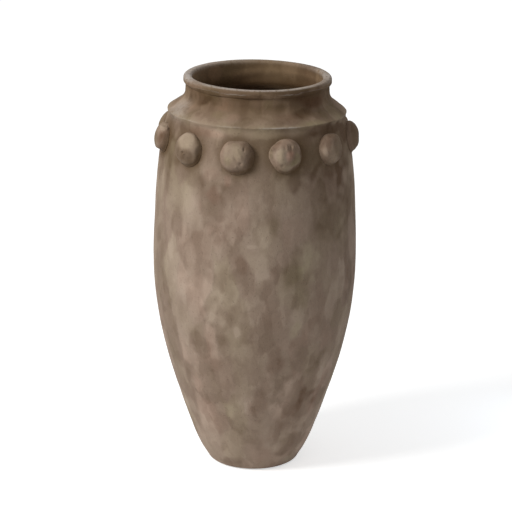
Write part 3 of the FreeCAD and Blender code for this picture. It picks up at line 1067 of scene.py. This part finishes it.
def clay_material(name, offset):
    """Blotched matte clay. The offset makes two materials' patches differ."""
    material = bpy.data.materials.new(name)
    clay = Recipe(material, "Principled BSDF")
    whole = clay.add("ShaderNodeTexCoord", {}, "Object")
    whole = clay.add("ShaderNodeMapping", {"Vector": whole, "Location": (offset, offset, offset)})
    tall = clay.add("ShaderNodeMapping", {"Vector": whole, "Scale": (1, 1, dab_squash)})
    drawn_out = clay.add("ShaderNodeMapping", {"Vector": whole, "Scale": (1, 1, streak_squash)})
    ragged = clay.pushed(tall, dab_edge_grain, dab_edge_reach)
    dab_tone, dab_blush = clay.dabs(ragged, dab_size, dab_softness)
    small_tone, _ = clay.dabs(ragged, small_dab_size, dab_softness)
    mottle = clay.noise(whole, mottle_grain)
    specks = clay.ramp(clay.noise(whole, speck_grain), *speck_range)
    pits = clay.ramp(clay.noise(whole, pit_grain), *pit_range)

    tone = clay.total([
        clay.times(clay.number("tone"), tone_paint_strength),
        clay.swing(clay.noise(tall, cloud_grain), cloud_strength),
        clay.swing(clay.noise(tall, blotch_grain), blotch_strength),
        clay.swing(clay.noise(drawn_out, streak_grain), streak_strength),
        clay.swing(dab_tone, dab_strength),
        clay.swing(small_tone, small_dab_strength),
        clay.swing(mottle, mottle_strength),
    ])
    blush = clay.total([
        clay.number("blush"),
        clay.swing(clay.noise(tall, blush_grain), blush_cloud_strength),
        clay.swing(dab_blush, dab_blush_strength),
    ])
    colour = clay.mix(clay.times(clay.number("brown"), brown_strength), clay_mid, clay_brown)
    patches = [
        (tone, pale_strength, pale_shade),
        (tone, -dark_strength, dark_shade),
        (blush, blush_strength, pink_shade),
        (blush, -blush_strength, olive_shade),
    ]
    for amount, strength, shade in patches:
        colour = clay.mix(clay.times(amount, strength, clamp=True), colour, shade, "MULTIPLY")
    # Over the clay: painted shade deep inside, wear and painted highlights, painted shade under the rim and
    # round the knobs, then the clay's dark specks and pits
    covers = [
        (clay.number("deep"), deep_strength, deep_shade_colour),
        (clay.times(clay.number("wear_and_highlight"), clay.ramp(mottle, *wear_and_highlight_mottle_range)), wear_and_highlight_strength, worn_and_highlight_colour),
        (clay.times(clay.number("painted_shade"), clay.ramp(mottle, *painted_shade_mottle_range)), painted_shade_strength, shade_and_speck_colour),
        (specks, speck_strength, shade_and_speck_colour),
        (pits, speck_strength, shade_and_speck_colour),
    ]
    for amount, strength, cover in covers:
        colour = clay.mix(clay.times(amount, strength), colour, cover)

    height = clay.total([
        clay.times(clay.noise(whole, bump_grain), bump_depth),
        clay.times(small_tone, dab_relief),
        clay.times(pits, -pit_depth),
    ])
    clay.fill(clay.shader, {
        "Base Color": colour,
        "Roughness": clay.carried(mottle, *roughness_mottle_range, *roughness_range),
        "Normal": clay.add("ShaderNodeBump", {"Strength": 1, "Distance": 1, "Height": height}, "Normal"),
        "Specular IOR Level": clay_shine,
    })
    return material


def add_floor():
    """A pale floor that looks white to the camera but takes the jar's shadow."""
    floor = add_mesh("floor", floor_radius * all_round(floor_sides), np.arange(floor_sides)[None], {})
    material = bpy.data.materials.new("pale_floor")
    paint = Recipe(material, "Principled BSDF")
    place = paint.add("ShaderNodeTexCoord", {}, "Object")
    from_jar = paint.add("ShaderNodeVectorMath", {0: place}, "Value", operation="LENGTH")
    outward = paint.ramp(from_jar, *floor_shade_radii)
    seen = paint.add("ShaderNodeLightPath", {}, "Is Camera Ray")
    paint.fill(paint.shader, {
        "Base Color": paint.mix(outward, *((shade, shade, shade) for shade in floor_shades)),
        "Emission Color": (1, 1, 1, 1),
        "Emission Strength": paint.times(seen, paint.carried(outward, 0, 1, *floor_glows)),
        "Roughness": 1,
        "Specular IOR Level": 0,
    })
    floor.data.materials.append(material)


def add_sky():
    """An even pale sky that looks white to the camera and in reflections."""
    world = bpy.data.worlds.new("sky")
    bpy.context.scene.world = world
    sky = Recipe(world, "Background")
    shown = sky.add("ShaderNodeLightPath", {}, "Is Camera Ray")
    for kind in ("Is Glossy Ray", "Is Transmission Ray"):
        shown = sky.calculate("MAXIMUM", shown, sky.add("ShaderNodeLightPath", {}, kind))
    strength = sky.carried(shown, 0, 1, sky_strength, 1)
    sky.fill(sky.shader, {"Color": (1, 1, 1, 1), "Strength": strength})


def add_light(name, turn, height, distance, width, power, colour):
    """A round lamp that faces the jar."""
    lamp = bpy.data.lights.new(name, "AREA")
    lamp.shape = "DISK"
    lamp.size = width
    lamp.energy = power
    lamp.color = colour
    stand = placed(name, lamp)
    stand.visible_camera = False
    angle = math.radians(turn)
    stand.location = (math.sin(angle) * distance, -math.cos(angle) * distance, height)
    stand.rotation_euler = (Vector(light_aim) - stand.location).to_track_quat("-Z", "Y").to_euler()


def add_camera():
    camera = placed("camera", bpy.data.cameras.new("camera"))
    camera.data.lens = camera_lens_mm
    camera.data.sensor_width = sensor_mm
    turned = Matrix.Rotation(-camera_yaw, 3, "Z") @ Matrix.Rotation(math.pi / 2 - camera_pitch, 3, "X")
    rolled = turned @ Matrix.Rotation(camera_roll, 3, "Z")
    camera.location = camera_place
    camera.rotation_euler = rolled.to_euler()
    bpy.context.scene.camera = camera


wall_clay = clay_material("wall_clay", wall_clay_offset)
for ring_number, ring_name in enumerate(rings):
    ring = thrown_ring(f"{ring_name}_visual", ring_number)
    ring.data.materials.append(wall_clay)
    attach(ring, "root")
    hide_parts(ring_name)

knob_clay = clay_material("knob_clay", knob_clay_offset)
for knob_number in knob_numbers:
    knob = pressed_knob(knob_number)
    knob.data.materials.append(knob_clay)
    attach(knob, "root")
    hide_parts(f"knob_{knob_number:02d}")

add_floor()
add_sky()
for light_name, light in lights.items():
    add_light(light_name, *light)
add_camera()
bpy.context.scene.view_settings.view_transform = "Standard"
